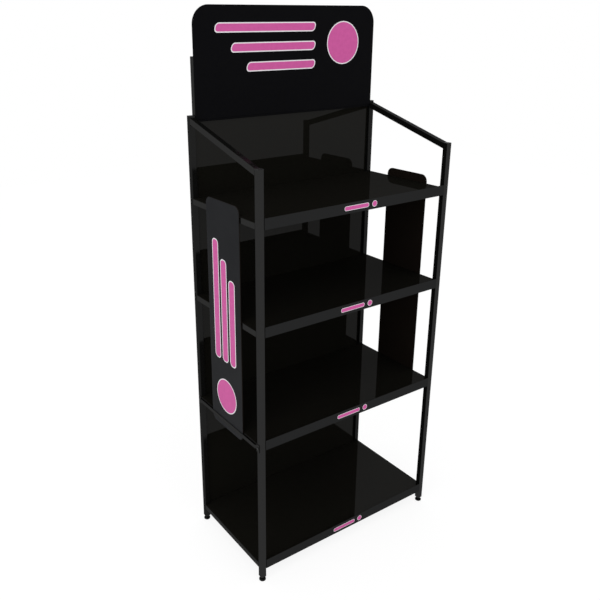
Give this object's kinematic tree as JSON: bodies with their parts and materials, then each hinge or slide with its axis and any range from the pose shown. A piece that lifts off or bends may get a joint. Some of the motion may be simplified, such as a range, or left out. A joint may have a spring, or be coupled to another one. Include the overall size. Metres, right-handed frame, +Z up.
{
  "type": "floor-standing retail display rack",
  "caption": "Freestanding black square-tube display rack with lipped sheet shelves, back panel, rounded header board and narrow side sign boards.",
  "frame": {"origin": "centre of the footprint, on the floor under the feet", "axes": "+Z up, -Y towards the open front, X across the width"},
  "size_m": [0.8116, 0.418, 1.922],
  "materials": {
    "frame_paint": "gloss black powder coat on welded square tube",
    "shelf_paint": "gloss black powder coat on folded sheet",
    "panel_paint": "mirror-gloss black coat on flat sheet",
    "header_paint": "smooth black printed sheet",
    "side_board": "smooth black printed plastic sheet",
    "strap_paint": "gloss black powder coat on thin strip",
    "black_plastic": "moulded black plastic",
    "foot": "moulded black plastic pad and stem",
    "fasteners": "black zinc-plated steel",
    "foam_tape": "black foam mounting tape",
    "print_pink": "pink vinyl print",
    "print_white": "white vinyl outline"
  },
  "bodies": {
    "root": {"back_panel": "panel_paint", "base_shelf": "shelf_paint", "foot_lock_nuts": "fasteners", "front_base_rail": "frame_paint", "front_left_cap": "black_plastic", "front_left_foot": "foot", "front_left_foot_insert": "black_plastic", "front_left_post": "frame_paint", "front_lower_rail": "frame_paint", "front_middle_rail": "frame_paint", "front_right_cap": "black_plastic", "front_right_foot": "foot", "front_right_foot_insert": "black_plastic", "front_right_post": "frame_paint", "front_upper_rail": "frame_paint", "header_board": "header_paint", "header_nuts": "fasteners", "left_base_rail": "frame_paint", "left_board_strap": "strap_paint", "left_board_tape": "foam_tape", "left_header_upright": "frame_paint", "left_lower_rail": "frame_paint", "left_middle_rail": "frame_paint", "left_side_board": "side_board", "left_top_rail": "frame_paint", "left_upper_rail": "frame_paint", "left_upright_cap": "black_plastic", "lower_shelf": "shelf_paint", "middle_shelf": "shelf_paint", "panel_screws": "fasteners", "rear_base_rail": "frame_paint", "rear_header_rail": "frame_paint", "rear_left_cap": "black_plastic", "rear_left_foot": "foot", "rear_left_foot_insert": "black_plastic", "rear_left_post": "frame_paint", "rear_lower_rail": "frame_paint", "rear_middle_rail": "frame_paint", "rear_right_cap": "black_plastic", "rear_right_foot": "foot", "rear_right_foot_insert": "black_plastic", "rear_right_post": "frame_paint", "rear_upper_rail": "frame_paint", "right_base_rail": "frame_paint", "right_board_strap": "strap_paint", "right_board_tape": "foam_tape", "right_header_upright": "frame_paint", "right_lower_rail": "frame_paint", "right_middle_rail": "frame_paint", "right_side_board": "side_board", "right_top_rail": "frame_paint", "right_upper_rail": "frame_paint", "right_upright_cap": "black_plastic", "strap_screws": "fasteners", "upper_shelf": "shelf_paint"}
  },
  "joints": []
}
